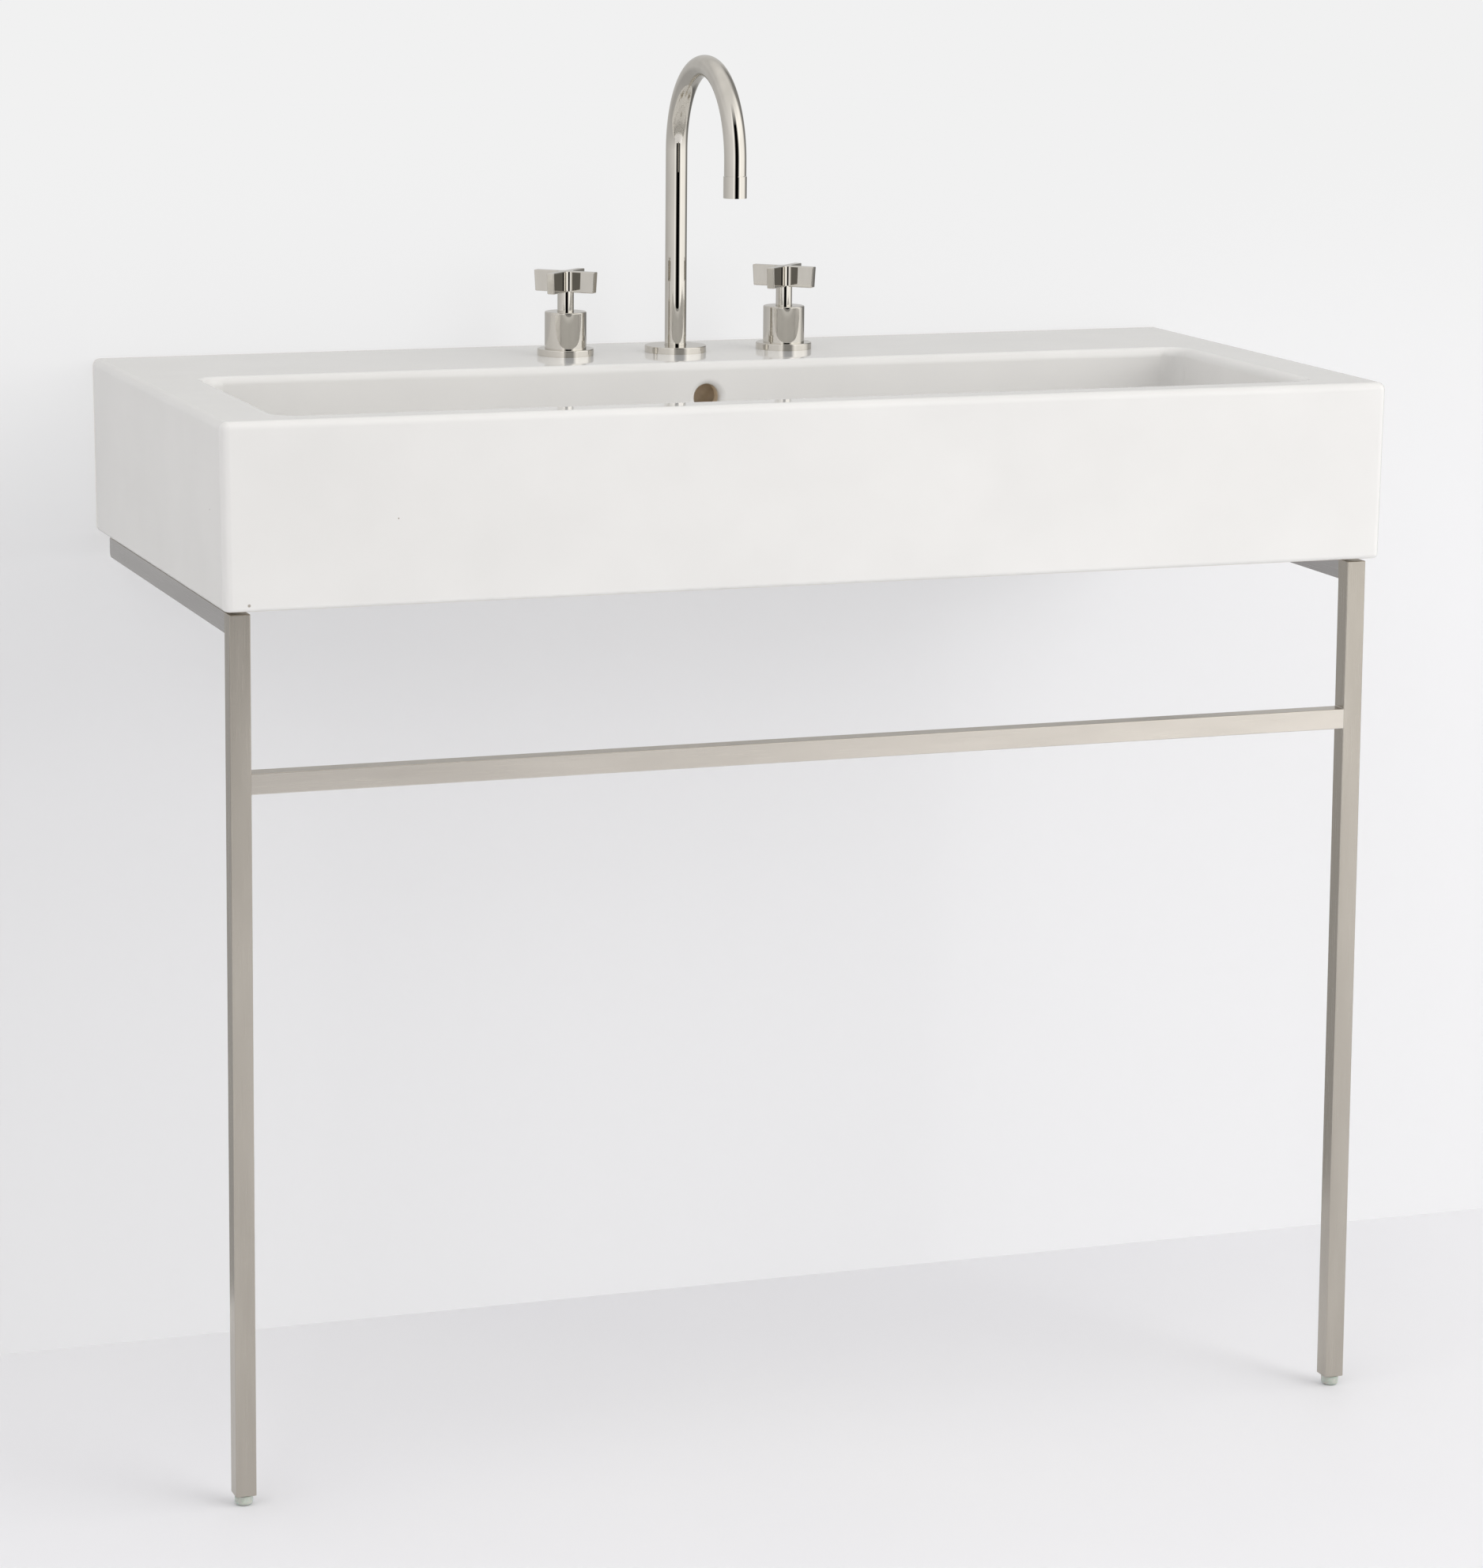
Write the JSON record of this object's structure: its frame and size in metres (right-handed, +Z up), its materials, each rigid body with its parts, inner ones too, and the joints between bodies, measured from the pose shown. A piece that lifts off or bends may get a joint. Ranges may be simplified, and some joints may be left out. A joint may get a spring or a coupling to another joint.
{
  "type": "console sink",
  "caption": "Wide rectangular ceramic basin on a square-tube frame with legs and a towel bar, with a gooseneck spout, cross handles and a push-open drain.",
  "frame": {"origin": "on the floor under the middle of the basin's rim outline", "axes": "+Z up; the front faces -Y, the wall is at +Y; +X to the right as seen from the front"},
  "size_m": [1.0068, 0.465, 1.1462],
  "materials": {
    "white_glaze": "gloss white glaze",
    "brushed_stainless": "brushed lengthwise, satin",
    "polished_nickel": "polished nickel plate on brass",
    "raw_brass": "as machined",
    "copper_tube": "drawn copper",
    "screw_steel": "plain stainless steel",
    "black_rubber": "matte",
    "foot_plastic": "milky, slightly translucent",
    "grey_plastic": "matte"
  },
  "bodies": {
    "sink": {"basin": "white_glaze", "drain_body": "polished_nickel", "drain_top_seal": "black_rubber", "drain_washer": "black_rubber", "drain_nut": "raw_brass", "click_cartridge": "raw_brass", "left_leg": "brushed_stainless", "right_leg": "brushed_stainless", "left_rail": "brushed_stainless", "right_rail": "brushed_stainless", "crossbar": "brushed_stainless", "rail_end_caps": "brushed_stainless", "leg_bushes": "screw_steel", "rail_screws": "screw_steel", "rail_spacers": "black_rubber", "basin_anchors": "grey_plastic", "handle_gaskets": "black_rubber", "spout_gasket": "black_rubber", "deck_washers": "grey_plastic", "deck_locknuts": "raw_brass", "hot_feed_tube": "copper_tube", "cold_feed_tube": "copper_tube", "feed_nuts": "raw_brass", "spout_rose": "polished_nickel", "spout_shank": "raw_brass", "spout_tee": "raw_brass", "hot_rose": "polished_nickel", "hot_bonnet": "polished_nickel", "hot_valve_body": "raw_brass", "hot_cartridge": "raw_brass", "cold_rose": "polished_nickel", "cold_bonnet": "polished_nickel", "cold_valve_body": "raw_brass", "cold_cartridge": "raw_brass"},
    "spout": {"spout": "polished_nickel", "spout_spigot": "raw_brass", "spout_o_rings": "black_rubber", "spout_circlip": "screw_steel", "aerator_housing": "polished_nickel", "aerator": "grey_plastic", "aerator_washer": "black_rubber"},
    "hot_handle": {"hot_handle": "polished_nickel", "hot_set_screw": "screw_steel", "hot_spindle": "raw_brass"},
    "cold_handle": {"cold_handle": "polished_nickel", "cold_set_screw": "screw_steel", "cold_spindle": "raw_brass"},
    "drain_cap": {"drain_cap": "polished_nickel", "cap_seal": "black_rubber"},
    "left_foot": {"left_foot_pad": "foot_plastic", "left_foot_stud": "screw_steel"},
    "right_foot": {"right_foot_pad": "foot_plastic", "right_foot_stud": "screw_steel"}
  },
  "joints": [
    {"name": "spout_swivel", "type": "hinge", "parent": "sink", "child": "spout", "pos_m": [0, 0.1525, 0.882], "axis": [0, 0, 1], "range_deg": [-60, 60]},
    {"name": "hot_turn", "type": "hinge", "parent": "sink", "child": "hot_handle", "pos_m": [-0.1015, 0.1525, 0.882], "axis": [0, 0, 1], "range_deg": [0, 90]},
    {"name": "cold_turn", "type": "hinge", "parent": "sink", "child": "cold_handle", "pos_m": [0.1015, 0.1525, 0.882], "axis": [0, 0, 1], "range_deg": [-90, 0]},
    {"name": "drain_cap_lift", "type": "slide", "parent": "sink", "child": "drain_cap", "axis": [0, 0, 1], "range_m": [0, 0.008]},
    {"name": "left_foot_height", "type": "slide", "parent": "sink", "child": "left_foot", "axis": [0, 0, 1], "range_m": [-0.012, 0.0004]},
    {"name": "right_foot_height", "type": "slide", "parent": "sink", "child": "right_foot", "axis": [0, 0, 1], "range_m": [-0.012, 0.0004]}
  ]
}
